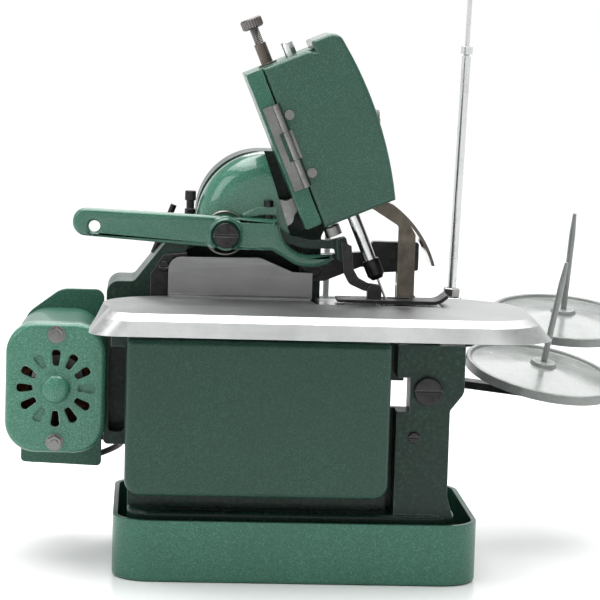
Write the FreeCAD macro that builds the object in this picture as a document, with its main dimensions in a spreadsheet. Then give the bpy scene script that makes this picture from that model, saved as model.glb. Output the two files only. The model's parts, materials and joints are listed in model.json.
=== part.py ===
import FreeCAD, Part
import math
import os
import Sketcher
from FreeCAD import Placement, Rotation, Vector

# A portable three-thread overlock machine on its oil tray, in millimetres.
# +X points to the operator, +Y to the handwheel side, +Z up.
# The origin is the centre of the tray's underside.

# ---------------------------------------------------------------- driving dimensions
SIZES = {
    # tray and base casting
    "tray_width": 225, "tray_depth": 150, "tray_height": 38, "tray_wall": 3, "tray_corner": 24,
    "pad_radius": 11, "pad_height": 4, "base_width": 203, "base_depth": 124, "base_top": 42,
    "base_wall": 8, "base_corner": 16, "column_depth": 22, "column_arm": 60,
    # body casting, open to the front as the looper bay
    "body_front": -46, "body_depth": 104, "body_top": 150, "bay_depth": 92, "cheek_depth": 68,
    "recess_depth": 20, "web_depth": 10, "side_window": 66, "rest_depth": 34, "side_cheek": 6,
    # arm casting and the round dome over the rocker shaft
    "arm_depth": 36, "arm_hollow": 26, "arm_rim": 17, "dome_radius": 44.5, "dome_depth": 26, "neck_pad": 2,
    # needle head, leaning back from the needle line
    "head_tilt": 23, "head_x": 35.5, "head_z": 217, "case_depth": 58, "case_hollow": 52,
    "strip_depth": 67, "cover_depth": 63, "cover_hollow": 60, "case_window": 12,
    "hinge_length": 54, "hinge_radius": 2.2, "hinge_pin": 1.0, "leaf_thick": 1.2, "rivet": 3,
    "rivet_head": 1.4,
    # shafts and bushes
    "shaft_x": -30, "shaft_z": 118, "shaft_radius": 6, "bush_radius": 9, "running_gap": 0.05,
    "rocker_x": -20, "rocker_z": 215, "rocker_radius": 5, "fork_depth": 8,
    "wheel_radius": 55, "belt_width": 5,
    # needle bar
    "bar_radius": 4, "clamp_radius": 5.5, "needle_radius": 0.8,
    # cloth plate, covers and guards
    "plate_thick": 4, "plate_rim": 13.5, "plate_top": 167.7, "cover_wall": 2.5,
    "front_cover_depth": 28, "front_cover_hollow": 25.5, "guard_thick": 2, "sheet_thick": 1.6,
    "shield_thick": 2, "shield_depth": 30, "needle_plate_thick": 5.5, "pivot_pin": 4,
    # lifter and presser
    "lever_x": -46.5, "lever_z": 209, "lever_thick": 7, "pivot_radius": 5, "screw_head": 7.9,
    "lever_boss": 9.5, "hole_radius": 3.5, "presser_thick": 6, "spring_radius": 13.5, "spring_wire": 1.5,
    "sole_width": 22, "sole_thick": 2.4,
    # loopers, knives and feed
    "looper_thick": 5, "knife_arm": 8, "feed_width": 12,
    # motor
    "motor_x": -149.5, "motor_z": 113, "bell_depth": 13, "bracket_thick": 4,
    "motor_shaft": 4,
    # thread stand
    "mast_radius": 3, "mast_bore": 1.65, "rod_radius": 1.6, "mast_length": 176,
    "disc_radius": 51, "spool_pin": 2.1, "pin_tenon": 1.6, "arm_bar": 5,
    # thread tensions
    "post_radius": 2.5, "disc_pair_radius": 8.5,
    # motor lead
    "lead_radius": 2,
    # depths and holes of single features
    "skirt_height": 35, "hollow_height": 27, "pad_seat": 13, "screw_hole": 5.2, "body_bore": 130,
    "arm_bore": 60,
    "lug_depth": 5, "pivot_boss": 9, "boss_depth": 8, "pivot_drill": 24, "knife_pin": 4, "dome_cutter": 40,
    "bar_bush": 6.5,
    "presser_bush": 6, "head_bore": 112, "plate_hollow": 9.5, "hinge_boss": 6, "hinge_bore": 4.05,
    "boss_height": 14.4, "boss_drill": 14, "tab_thick": 3, "flange_width": 11, "presser_rod": 3,
    "adjuster": 2.9, "shaft_length": 144, "crank_radius": 16, "crank_width": 8, "eccentric_radius": 12,
    "crank_pin": 4, "rocker_length": 57, "collar_radius": 8, "collar_width": 4, "driver_depth": 12,
    "bar_pin_length": 20, "knife_bore": 4.0, "knife_drill": 12, "feed_rows": 8, "boss_depth_lever": 9,
    "hook_depth": 9, "pivot_bore": 5.05, "lever_drill": 20, "end_depth": 10, "shank_thick": 4,
    "foot_bore": 1.55,
    "shank_drill": 12, "sole_cutter": 6, "lug_thick": 1.2, "foot_pin": 1.5, "pin_length": 7.2,
    "pivot_pin_length": 20, "bell_hollow": 8, "bell_wall": 9, "shallow_slot": 3, "bearing_boss": 9,
    "bearing_depth": 8, "motor_bearing": 4.05, "bearing_drill": 30, "tie_hole": 2.45, "tie_drill": 20,
    "housing_length": 85, "housing_bore": 25.5, "housing_hollow": 79, "tie_long": 90, "fan_radius": 22,
    "fan_plate": 1.5, "fan_blade": 6, "fan_drill": 20, "tie_radius": 2.4, "tie_length": 114, "nut_height": 4,
    "nut_drill": 6, "bracket_bore": 12, "box_length": 28, "contact_hole": 2, "contact_depth": 12,
    "post_length": 20.5, "looper_bore": 4.05, "looper_drill": 16, "lug_width": 30, "pin_seat": 8,
    "small_screw": 2, "small_drill": 6, "guard_screw": 1.5, "stud_radius": 2, "stud_length": 34,
    "bracket_screw": 2.4, "bracket_drill": 12, "cap_boss": 9.5,
}

doc = FreeCAD.newDocument("overlock_machine")
sheet = doc.addObject("Spreadsheet::Sheet", "Dims")
for row, (label, value) in enumerate(SIZES.items(), start=1):
    sheet.set(f"A{row}", label)
    sheet.set(f"B{row}", str(value))
    sheet.setAlias(f"B{row}", label)
doc.recompute()

PIECES = []
Y_AXIS = Vector(0, 1, 0)
Z_AXIS = Vector(0, 0, 1)


def size(name):
    """The number in a named cell; a leading minus gives its negative."""
    if isinstance(name, str):
        return -float(SIZES[name[1:]]) if name.startswith("-") else float(SIZES[name])
    return float(name)


def cell(name):
    """The expression that reads a named cell."""
    return f"-Dims.{name[1:]}" if name.startswith("-") else f"Dims.{name}"


def keep(piece, label):
    """Name a finished sub-part, which becomes one file."""
    piece.Label = label
    PIECES.append(piece)
    return piece


# ---------------------------------------------------------------- sketch and feature helpers
def corner_edges(points):
    """Lines and arcs through points: (x, y), (x, y, radius) rounds it, ("arc", mx, my, x, y) bends to it."""
    nodes = []
    for point in points:
        if point[0] == "arc":
            nodes.append({"at": Vector(point[3], point[4], 0), "via": Vector(point[1], point[2], 0), "r": 0})
        else:
            radius = point[2] if len(point) > 2 else 0
            nodes.append({"at": Vector(size(point[0]), size(point[1]), 0), "via": None, "r": radius})
    count = len(nodes)
    for i, node in enumerate(nodes):
        node["start"] = node["end"] = node["at"]
        if node["r"]:
            before = nodes[i - 1]["at"] - node["at"]
            after = nodes[(i + 1) % count]["at"] - node["at"]
            half = before.getAngle(after) / 2
            reach = node["r"] / math.tan(half)
            before.normalize()
            after.normalize()
            node["start"] = node["at"] + before * reach
            node["end"] = node["at"] + after * reach
            middle = (before + after).normalize()
            node["mid"] = node["at"] + middle * (node["r"] / math.sin(half) - node["r"])
    edges = []
    for i, node in enumerate(nodes):
        following = nodes[(i + 1) % count]
        if node["r"]:
            edges.append(Part.Arc(node["start"], node["mid"], node["end"]))
        if following["via"] is not None:
            edges.append(Part.Arc(node["end"], following["via"], following["start"]))
        elif node["end"].distanceToPoint(following["start"]) > 1e-6:
            edges.append(Part.LineSegment(node["end"], following["start"]))
    return edges


def new_sketch(body, plane, offset):
    """A sketch on one of the body's own origin planes, moved along that plane's normal."""
    sketch = body.newObject("Sketcher::SketchObject", f"{body.Name}_sketch")
    support = [f for f in body.Origin.OriginFeatures if f.Role == f"{plane}_Plane"][0]
    sketch.AttachmentSupport = [(support, "")]
    sketch.MapMode = "FlatFace"
    sketch.AttachmentOffset = Placement(Vector(0, 0, offset), Rotation())
    return sketch


def extrude(body, sketch, depth, remove):
    """Pad or pocket a sketch by the size in a cell."""
    kind = "PartDesign::Pocket" if remove else "PartDesign::Pad"
    before = body.Shape.Volume if remove else 0
    feature = body.newObject(kind, f"{body.Name}_{'cut' if remove else 'pad'}")
    feature.Profile = sketch
    feature.Length = size(depth)
    feature.setExpression("Length", cell(depth))
    doc.recompute()
    if remove and feature.Shape.Volume > before - 0.5:
        raise ValueError(f"{body.Name}: a pocket removed nothing")
    return feature


def offset_of(plane, start, depth, remove):
    """Where the sketch lies so that the feature fills start to start + depth along the axis."""
    far = start + size(depth)
    if plane == "XZ":
        return -start if remove else -far
    return far if remove else start


def slab(body, plane, points, start, depth, remove=False):
    """A padded or pocketed outline."""
    sketch = new_sketch(body, plane, offset_of(plane, start, depth, remove))
    sketch.addGeometry(corner_edges(points), False)
    return extrude(body, sketch, depth, remove)


def disc(body, plane, x, y, radius, start, depth, remove=False):
    """A padded or pocketed circle whose radius is a cell."""
    sketch = new_sketch(body, plane, offset_of(plane, start, depth, remove))
    sketch.addGeometry(Part.Circle(Vector(x, y, 0), Z_AXIS, size(radius)), False)
    sketch.addConstraint(Sketcher.Constraint("Radius", 0, size(radius)))
    sketch.setExpression("Constraints[0]", cell(radius))
    return extrude(body, sketch, depth, remove)


def new_body(name):
    return doc.addObject("PartDesign::Body", name)


def axis_placement(base, direction):
    """The placement that puts a piece made along +Z at a point, pointing along a direction."""
    return Placement(Vector(*base), Rotation(Z_AXIS, Vector(*direction)))


def turned(name, profile, base=(0, 0, 0), direction=(0, 0, 1)):
    """A body turned from a profile of (radius, height) about its own Z axis."""
    body = new_body(name)
    sketch = new_sketch(body, "XZ", 0)
    sketch.addGeometry(corner_edges(profile), False)
    turn = body.newObject("PartDesign::Revolution", f"{name}_turn")
    turn.Profile = sketch
    turn.ReferenceAxis = (sketch, ["V_Axis"])
    turn.Angle = 360
    body.Placement = axis_placement(base, direction)
    doc.recompute()
    return body


def rod(name, radius, length, base, direction=(0, 0, 1)):
    """A plain cylinder; radius and length are cells."""
    piece = doc.addObject("Part::Cylinder", name)
    piece.setExpression("Radius", cell(radius))
    piece.setExpression("Height", cell(length) if isinstance(length, str) else str(length))
    piece.Placement = axis_placement(base, direction)
    return piece


def block(name, low, high):
    """A plain box between two corners."""
    piece = doc.addObject("Part::Box", name)
    piece.Length, piece.Width, piece.Height = [b - a for a, b in zip(low, high)]
    piece.Placement = Placement(Vector(*low), Rotation())
    return piece


def joined(label, pieces):
    piece = doc.addObject("Part::MultiFuse", label)
    piece.Shapes = pieces
    return piece


def less(label, base, tool):
    piece = doc.addObject("Part::Cut", label)
    piece.Base = base
    piece.Tool = tool
    return piece


def group(label, pieces):
    """Several separate solids that share one file."""
    piece = doc.addObject("Part::Compound", label)
    piece.Links = pieces
    return keep(piece, label)


def round_edges(body, radius, wanted, chamfer=False):
    """Fillet or chamfer the edges that the test picks."""
    doc.recompute()
    names = [f"Edge{i}" for i, edge in enumerate(body.Tip.Shape.Edges, start=1) if wanted(edge)]
    kind = "Chamfer" if chamfer else "Fillet"
    base = body.Tip
    feature = body.newObject(f"PartDesign::{kind}", f"{body.Name}_{kind.lower()}")
    feature.Base = (base, names)
    if chamfer:
        feature.Size = radius
    else:
        feature.Radius = radius
    doc.recompute()
    return feature


def level_edges(axis, value, tolerance=0.01):
    """A test for edges that lie wholly in the plane where one coordinate has a value."""
    low, high = f"{axis}Min", f"{axis}Max"

    def test(edge):
        box = edge.BoundBox
        return abs(getattr(box, low) - value) < tolerance and abs(getattr(box, high) - value) < tolerance
    return test


def rectangle(x0, y0, x1, y1, radius=0):
    corners = [(x0, y0), (x1, y0), (x1, y1), (x0, y1)]
    return [(x, y, radius) if radius else (x, y) for x, y in corners]


# ---------------------------------------------------------------- tray and base
def make_tray():
    """A pressed oil tray with rounded corners."""
    body = new_body("drip_tray")
    x, y = size("tray_width") / 2, size("tray_depth") / 2
    wall, corner = size("tray_wall"), size("tray_corner")
    slab(body, "XY", rectangle(-x, -y, x, y, corner), 0, "tray_height")
    inner = rectangle(-x + wall, -y + wall, x - wall, y - wall, corner - wall)
    slab(body, "XY", inner, wall, "tray_height", remove=True)
    round_edges(body, 2.4, level_edges("Z", 0))
    keep(body, "drip_tray")


def make_base():
    """Rubber pads in the tray and the base casting that stands on them, with its column."""
    pads = [rod(f"pad_{i}", "pad_radius", "pad_height", (x, y, size("tray_wall")))
            for i, (x, y) in enumerate([(-84, -44), (-84, 44), (79, -44), (79, 44)])]
    group("base_cushions", pads)
    body = new_body("base_casting")
    middle, half = -2.5, size("base_width") / 2
    depth, wall, corner = size("base_depth") / 2, size("base_wall"), size("base_corner")
    foot = size("tray_wall") + size("pad_height")
    outer = rectangle(middle - half, -depth, middle + half, depth, corner)
    slab(body, "XY", outer, foot, "skirt_height")
    round_edges(body, 3, level_edges("Z", size("base_top")))
    inner = rectangle(middle - half + wall, -depth + wall, middle + half - wall, depth - wall, corner - wall)
    slab(body, "XY", inner, foot, "hollow_height", remove=True)
    for x in (-84, 79):
        for y in (-44, 44):
            disc(body, "XY", x, y, "pad_seat", foot, "hollow_height")
    column = [(60, 40), (97, 40), (93, 54, 8), (93, 107, 4), (101.5, 118, 8), (101.5, 147), (60, 147),
              (60, 127), (68, 127), (68, 106), (60, 106)]
    slab(body, "XZ", column, -60, "column_depth")
    slab(body, "XZ", rectangle(78, 138, 88, 162), -40, "column_arm")
    disc(body, "XZ", 79, 119, "screw_hole", -64, "column_depth", remove=True)
    disc(body, "XZ", 71.3, 90, "small_screw", -60, "small_drill", remove=True)
    keep(body, "base_casting")


# places that several pieces share, as (x, z) unless noted
PIVOT = (-109, -33)  # the cloth plate's upright hinge pin, as (x, y)
KNIFE_PIVOT = (10, 186)
GUARD_SCREW = (-84, 186)
BRACKET_SCREWS = (92, 130)  # heights of the screws that hold the motor bracket
LOOPER_SHAFTS = {"lower_looper": (20, 132, -10.5), "upper_looper": (40, 134, 7)}
STUD_FOOT, STUD_LEAN = (-90.9, 40, 190.8), (0.366, 0, 0.93)


# ---------------------------------------------------------------- body and arm castings
def make_body():
    """The hollow body: looper bay open to the front, motor cheek at the left, needle-plate rest on top."""
    body = new_body("body_casting")
    front = size("body_front")
    slab(body, "XZ", rectangle(-104, 42, 56, 150), front, "body_depth")
    slab(body, "XZ", [(-120, 74, 3), (-103, 74), (-103, 150), (-120, 150)], -10, "cheek_depth")
    slab(body, "XZ", rectangle(-97, 50, 49, 143, 8), front, "bay_depth", remove=True)
    slab(body, "XZ", rectangle(-117, 82, -107, 136, 3), -10, "recess_depth", remove=True)
    slab(body, "XZ", rectangle(-52, 49, -8, 144), -24, "web_depth")
    slab(body, "XZ", rectangle(12, 124, 60, 152), front, "side_window", remove=True)
    slab(body, "XZ", rectangle(-2, 149, 15, 162), -28, "rest_depth")
    slab(body, "XZ", rectangle(50, 42, 66, 105), -37, "side_cheek")
    slab(body, "XZ", rectangle(50, 122, 66, 148), -37, "side_cheek")
    slab(body, "XZ", rectangle(-116, 140, -102, 150), -40, "lug_width")
    disc(body, "XY", *PIVOT, "pivot_pin", 142, "pin_seat", remove=True)
    for x, z, _ in LOOPER_SHAFTS.values():
        disc(body, "XZ", x, z, "looper_bore", 44, "looper_drill", remove=True)
    for z in BRACKET_SCREWS:
        disc(body, "XZ", -113, z, "bracket_screw", 46, "bracket_drill", remove=True)
    disc(body, "XZ", size("shaft_x"), size("shaft_z"), "bush_radius", front - 10, "body_bore", remove=True)
    keep(body, "body_casting")


ARM_OUTLINE = [(-120, 150), (-120, 176, 8), (-103, 176, 4), (-86, 198, 10), (-73, 214, 4), (-64.5, 218),
               (-64.5, 259.5, 41.4), (-2, 259.5, 3), (8, 286, 6), (26, 292, 6), (30, 284, 3), (30, 236, 4),
               (16, 206, 4), (16, 150)]


def make_arm():
    """The arm casting on the body: a web with a rim at the left, the rocker bearing and the neck."""
    body = new_body("arm_web")
    slab(body, "XZ", ARM_OUTLINE, 22, "arm_depth")
    rim = [(-120, 150), (-120, 176, 8), (-103, 176, 4), (-86, 198, 10), (-73, 214, 4), (-66, 217), (-66, 203),
           (-76, 188, 8), (-93, 166, 4), (-110, 166, 4), (-112, 150)]
    slab(body, "XZ", rim, 5, "arm_rim")
    slab(body, "XZ", rectangle(-72.5, 204, -64.8, 218), 9.5, "cap_boss")
    hollow = [(-112, 156, 2), (-112, 166, 2), (-98, 167, 3), (-80, 190, 6), (-60, 200), (4, 200), (4, 156, 2)]
    slab(body, "XZ", hollow, 22, "arm_hollow", remove=True)
    neck = [head_point(-20, 30), head_point(-20, 84), head_point(6, 84), head_point(6, 30)]
    slab(body, "XZ", neck, 20, "neck_pad")
    disc(body, "XZ", size("lever_x"), size("lever_z"), "pivot_boss", 14, "boss_depth")
    disc(body, "XZ", size("lever_x"), size("lever_z"), "pivot_bore", 12, "pivot_drill", remove=True)
    disc(body, "XZ", size("rocker_x"), size("rocker_z"), "bush_radius", 10, "arm_bore", remove=True)
    disc(body, "XZ", *KNIFE_PIVOT, "knife_pin", 12, "arm_bore", remove=True)
    disc(body, "XZ", *GUARD_SCREW, "guard_screw", 4, "pin_seat", remove=True)
    stud_hole = rod("stud_hole", "stud_radius", "stud_length", STUD_FOOT, STUD_LEAN)
    keep(less("arm_casting_bored", body, stud_hole), "arm_casting")


def head_point(across, up):
    """A point of the leaning head in the XZ plane, from its own across and up coordinates."""
    tilt = math.radians(size("head_tilt"))
    x = size("head_x") + across * math.cos(tilt) - up * math.sin(tilt)
    z = size("head_z") + across * math.sin(tilt) + up * math.cos(tilt)
    return (x, z)


def make_dome():
    """The round cap over the rocker, cut off along the head's slope and open towards the head."""
    radius, depth = size("dome_radius"), size("dome_depth")
    cup = [(0, 0), (radius, 0, 17), (radius, depth), (radius - 6, depth), (radius - 6, 6, 12), (0, 6)]
    shell = turned("dome_shell", cup, (size("rocker_x"), -4, size("rocker_z")), (0, 1, 0))
    window = new_body("dome_window")
    slab(window, "XZ", [(-70, 204), (-70, 265), (-24.5, 265), (-4, 204)], -10, "dome_cutter")
    cap = doc.addObject("Part::Common", "dome_cap")
    cap.Base, cap.Tool = shell, window
    lug = new_body("dome_lug")
    slab(lug, "XZ", [(-34, 218), (-36, 220.5, 1), (-26, 226), (-14.5, 226), (-14.5, 221), (-24, 221)],
         -9, "lug_depth")
    hole = rod("dome_hole", "screw_hole", "dome_cutter", (size("lever_x"), -10, size("lever_z")), (0, 1, 0))
    keep(less("dome_housing_bored", joined("dome_with_lug", [cap, lug]), hole), "dome_housing")


# ---------------------------------------------------------------- needle head
def head_placement():
    """Where the head's own across, depth and up axes lie in the machine."""
    return Placement(Vector(size("head_x"), 0, size("head_z")), Rotation(Y_AXIS, -size("head_tilt")))


def in_head(across, depth, up):
    """A point in the machine's frame, from the head's across, depth and up coordinates."""
    x, z = head_point(across, up)
    return (x, depth, z)


BAR_Y = -12
PRESSER_ACROSS, PRESSER_Y = -15.5, -14


def make_head_case():
    """The head casing: left strip, back wall, top and bottom, open at the front and right."""
    body = new_body("head_casing")
    slab(body, "XZ", [(-31.5, 11.5), (20, 11.5, 3), (20, 103.5), (12.8, 103.5), (12.8, 113), (-31.5, 113)],
         -38, "case_depth")
    slab(body, "XZ", rectangle(-31.5, 11.5, -21.2, 113, 1.5), -47, "strip_depth")
    slab(body, "XZ", rectangle(-21.3, 18, 22, 106), -38, "case_hollow", remove=True)
    slab(body, "XZ", rectangle(-33, 18, -20, 64, 3), 2, "case_window", remove=True)
    for across, depth, bore in ((0, BAR_Y, "bar_bush"), (PRESSER_ACROSS, PRESSER_Y, "presser_bush")):
        disc(body, "XY", across, depth, bore, 5, "head_bore", remove=True)
    body.Placement = head_placement()
    keep(body, "head_casing")


def make_head_cover():
    """The swing-open cover: a pan with a convex right wall and a raised top corner."""
    body = new_body("head_cover")
    outline = [(-20.6, 8.5), (-20.6, 113), (9, 113), (13.2, 111), (13.2, 117.6, 1.5), (31, 117.6, 7),
               (33.4, 100), ("arc", 34.8, 60, 26.5, 8.5)]
    slab(body, "XZ", outline, -47, "cover_depth")
    round_edges(body, 2.5, level_edges("Y", -47))
    hollow = [(-25, 5), (-25, 125), (13.1, 125), (13.1, 104), (16.4, 104), (16.4, 114.4), (29, 114.4, 5),
              (30.4, 100), ("arc", 31.8, 60, 23.6, 11.4), (23.6, 5)]
    slab(body, "XZ", hollow, -44, "cover_hollow", remove=True)
    body.Placement = head_placement()
    keep(body, "head_cover")


def make_hinge():
    """The steel hinge: one leaf on the casing with the pin, one riveted to the cover, knuckles in turn."""
    tilt = head_placement()
    across, radius = -21.4, size("hinge_radius")
    bottom, length, gap = 36.0, size("hinge_length"), 0.3
    third = length / 3
    barrel = tilt * Placement(Vector(across, -47 - radius, bottom), Rotation())

    def knuckle(name, start, end, bore):
        piece = turned(name, [(bore, start), (radius, start), (radius, end), (bore, end)])
        piece.Placement = barrel
        return piece

    def leaf(name, x0, x1, start, end):
        piece = new_body(name)
        outline = rectangle(x0, bottom + start, x1, bottom + end)
        slab(piece, "XZ", outline, -47 - size("leaf_thick"), "leaf_thick")
        piece.Placement = tilt
        return piece

    core = size("hinge_pin")
    pin = turned("pin_of_hinge", [(0, 0), (core, 0), (core, length), (0, length)])
    pin.Placement = barrel
    fixed = joined("hinge_fixed_body", [knuckle("knuckle_low", 0, third - gap, core),
                                        knuckle("knuckle_high", 2 * third + gap, length, core),
                                        leaf("leaf_low", -29.5, across - 0.6, 0, third - gap),
                                        leaf("leaf_high", -29.5, across - 0.6, 2 * third + gap, length),
                                        leaf("leaf_back", -29.5, -25.5, 0, length), pin])
    keep(fixed, "hinge_fixed_leaf")
    flap = joined("hinge_cover_body", [knuckle("knuckle_mid", third, 2 * third, core + size("running_gap")),
                                       leaf("leaf_mid", across + 1.3, -17.4, third, 2 * third)])
    pieces = [flap]
    for up in (81, 43):
        rivet = rod(f"rivet_{up}", "rivet", "rivet_head", (0, 0, 0))
        rivet.Placement = tilt * axis_placement((-15.5, -47 - size("rivet_head"), up), (0, 1, 0))
        pieces.append(rivet)
    group("hinge_cover_leaf", pieces)


# ---------------------------------------------------------------- cloth plate, covers and guards
def plate_outline(near, ends):
    """The work plate's outline, drawn in by an amount along the near edge and at the two ends."""
    return [(-76, 0), (5.6, 0), ("arc", 8.9, -15, 10.5, -30), (90.5, -30), (90.5, 22), (104, 22),
            ("arc", 139 - 0.6 * ends, 6 - 0.5 * ends, 152 - ends, -34), (152 - ends, -105 + near, 34),
            (-129 + ends, -105 + near, 18), (-129 + ends, -66), ("arc", -113, -20, -76, 0)]


def make_cloth_plate():
    """The polished work plate: flat top, sloping ends, a notch for the needle plate, a boss on its pin."""
    body = new_body("cloth_plate")
    top, rim = size("plate_top"), size("plate_rim")
    levels = [(top - rim, 0, 0), (top - 4.2, 0.1, 8), (top, 4.2, 12)]
    sections = []
    for height, near, ends in levels:
        sketch = new_sketch(body, "XY", height)
        sketch.addGeometry(corner_edges(plate_outline(near, ends)), False)
        sections.append(sketch)
    loft = body.newObject("PartDesign::AdditiveLoft", "plate_loft")
    loft.Profile = sections[0]
    loft.Sections = sections[1:]
    loft.Ruled = True
    doc.recompute()
    under = [(-76, -6), (4.5, -6), (4.5, -36), (96.5, -36), (96.5, 14), (102, 14), ("arc", 124, 2, 136, -34),
             (136, -97, 24), (-112, -97, 10), (-112, -60), ("arc", -100, -26, -76, -6)]
    slab(body, "XY", under, top - rim, "plate_hollow", remove=True)
    slab(body, "XY", rectangle(-1, -45, 12, 6), top - rim, "plate_hollow", remove=True)
    slab(body, "XY", rectangle(0, -45, 101, 30), top - rim, "plate_hollow", remove=True)
    slab(body, "XY", rectangle(-76, -10, 20, 6), top - rim, "plate_hollow", remove=True)
    disc(body, "XY", *PIVOT, "hinge_boss", size("body_top") + 0.3, "boss_height")
    disc(body, "XY", *PIVOT, "hinge_bore", size("body_top"), "boss_drill", remove=True)
    keep(body, "cloth_plate")


def make_covers():
    """The front cover under the plate, the upright guard plate and the sheet guard behind it."""
    body = new_body("front_cover")
    outline = [(-106, 54, 10), (54.5, 54, 9), (54.5, 150, 3), (-106, 150, 3)]
    slab(body, "XZ", outline, -80, "front_cover_depth")
    round_edges(body, 4, level_edges("Y", -80))
    wall = size("cover_wall")
    inner = [(-106 + wall, 54 + wall, 7.5), (54.5 - wall, 54 + wall, 6.5), (54.5 - wall, 150 - wall, 1),
             (-106 + wall, 150 - wall, 1)]
    slab(body, "XZ", inner, -80 + wall, "front_cover_hollow", remove=True)
    for x in (-80, 20):
        slab(body, "XZ", rectangle(x, 149, x + 20, size("plate_top") - size("plate_thick")), -56, "tab_thick")
    keep(body, "front_cover")

    body = new_body("guard_plate")
    sheet_outline = [(-81.4, 167.7), (-81.4, 192.6, 8), (-24, 193.4, 8), (-3, 184.8, 5), (9.5, 184.4),
                     (9.5, 167.7)]
    slab(body, "XZ", sheet_outline, -3, "guard_thick")
    slab(body, "XZ", rectangle(-80, 167.7, 8, 169.3), -14, "flange_width")
    keep(body, "guard_plate")
    body = new_body("rear_guard")
    outline = [(-92.5, 151), (-92.5, 181, 2), (-85, 193, 2), (-70, 195), (-70, 151)]
    slab(body, "XZ", outline, 3.4, "sheet_thick")
    disc(body, "XZ", *GUARD_SCREW, "guard_screw", 2, "pin_seat", remove=True)
    keep(body, "rear_guard")

    body = new_body("eye_guard")
    wall = [head_point(11, 8.4), head_point(21, 8.4), (57.6, 229.8), ("arc", 65.3, 221.6, 71, 212.6),
            (71, 173.6), (60.2, 173.6), (60.2, 218, 3)]
    slab(body, "XZ", wall, -32, "shield_thick")
    curve = [head_point(21, 8.5), (56.4, 231.2), ("arc", 71.8, 216.6, 83.6, 193.5), (81.6, 193.5),
             ("arc", 70.2, 215.2, 55.1, 229.4), head_point(20, 6.5), head_point(12, 6.5), head_point(12, 8.5)]
    slab(body, "XZ", curve, -32, "shield_depth")
    flange = [head_point(11, 8.4), head_point(21, 8.4), head_point(21, 11.5), head_point(11, 11.5)]
    slab(body, "XZ", flange, -32, "shield_depth")
    keep(body, "eye_guard")


def make_needle_plate():
    body = new_body("needle_plate")
    outline = [(11.5, -28.5), (89, -28.5), (89, 6), (11.5, 6)]
    slab(body, "XY", outline, 162, "needle_plate_thick")
    slab(body, "XY", rectangle(49, -15, 65, -9, 2.5), 162, "needle_plate_thick", remove=True)
    slab(body, "XY", rectangle(24, -26.5, 53, -16.5, 1), 162, "needle_plate_thick", remove=True)
    keep(body, "needle_plate")


# ---------------------------------------------------------------- shafts, wheel and belt
def bush(name, bore, x, z, start, length):
    """A plain bronze bush along Y."""
    ring = [(bore, 0), (size("bush_radius"), 0), (size("bush_radius"), length), (bore, length)]
    return turned(name, ring, (x, start, z), (0, 1, 0))


def make_bushes():
    """Bronze bushes of the main shaft, rocker shaft, needle bar and presser bar."""
    gap = size("running_gap")
    x, z = size("shaft_x"), size("shaft_z")
    rings = [bush("web_bush", size("shaft_radius") + gap, x, z, -24, 10),
             bush("rear_bush", size("shaft_radius") + gap, x, z, 46, 12),
             bush("rocker_front_bush", size("rocker_radius") + gap, size("rocker_x"), size("rocker_z"), 22, 12),
             bush("rocker_rear_bush", size("rocker_radius") + gap, size("rocker_x"), size("rocker_z"), 46, 12)]
    tilt = head_placement()
    sleeves = [("bar_low", 0, BAR_Y, size("bar_radius") + gap, size("bar_bush"), 9.5, 8.5),
               ("bar_high", 0, BAR_Y, size("bar_radius") + gap, size("bar_bush"), 105, 8),
               ("presser_low", PRESSER_ACROSS, PRESSER_Y, size("presser_rod") + gap, size("presser_bush"),
                9.5, 8.5)]
    for name, across, depth, bore, outer, start, length in sleeves:
        ring = turned(name, [(bore, 0), (outer, 0, 1), (outer, length, 1), (bore, length)])
        ring.Placement = tilt * Placement(Vector(across, depth, start), Rotation())
        rings.append(ring)
    bore, outer = size("adjuster") + gap, size("presser_bush")
    section = [(bore, 103), (outer, 103), (outer, 114), (3.75, 114), (3.75, 127), (bore, 127)]
    sleeve = turned("presser_high", section)
    sleeve.Placement = tilt * Placement(Vector(PRESSER_ACROSS, PRESSER_Y, 0), Rotation())
    rings.append(sleeve)
    group("bronze_bushes", rings)


def make_main_shaft():
    """The main shaft with its crank and eccentric, and the handwheel with a belt groove."""
    x, z = size("shaft_x"), size("shaft_z")
    shaft = rod("shaft_rod", "shaft_radius", "shaft_length", (x, -40, z), (0, 1, 0))
    crank = rod("crank_disc", "crank_radius", "crank_width", (x, -36, z), (0, 1, 0))
    eccentric = rod("eccentric", "eccentric_radius", "crank_width", (x + 3, 14, z), (0, 1, 0))
    crank_pin = rod("crank_pin", "crank_pin", "crank_width", (x + 10, -44, z), (0, 1, 0))
    keep(joined("main_shaft", [shaft, crank, eccentric, crank_pin]), "main_shaft")
    edge, bore = size("wheel_radius"), size("shaft_radius")
    profile = [(bore, -6), (15, -6, 1.5), (15, 6), (43, 8, 3), (43, 0), (edge - 4, 0), (edge, 3), (edge, 6.5),
               (49.5, 9.6), (49.5, 14.4), (edge, 17.5), (edge, 21), (edge - 4, 24), (43, 24), (43, 16, 3),
               (18, 14), (15, 20, 2), (bore, 20)]
    wheel = turned("handwheel", profile, (x, 76, z), (0, 1, 0))
    keep(wheel, "handwheel")


def belt_points(big, small):
    """The open loop around two circles: the handwheel's and the motor pulley's."""
    x1, z1, x2, z2 = size("shaft_x"), size("shaft_z"), size("motor_x"), size("motor_z")
    span = math.hypot(x2 - x1, z2 - z1)
    lean = math.atan2(z2 - z1, x2 - x1)
    wrap = math.acos((big - small) / span)

    def on(x, z, radius, angle):
        return (x + radius * math.cos(angle), z + radius * math.sin(angle))
    big_arc = on(x1, z1, big, lean + math.pi) + on(x1, z1, big, lean - wrap)
    small_arc = on(x2, z2, small, lean) + on(x2, z2, small, lean + wrap)
    return [on(x1, z1, big, lean + wrap), ("arc",) + big_arc, on(x2, z2, small, lean - wrap),
            ("arc",) + small_arc]


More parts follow.
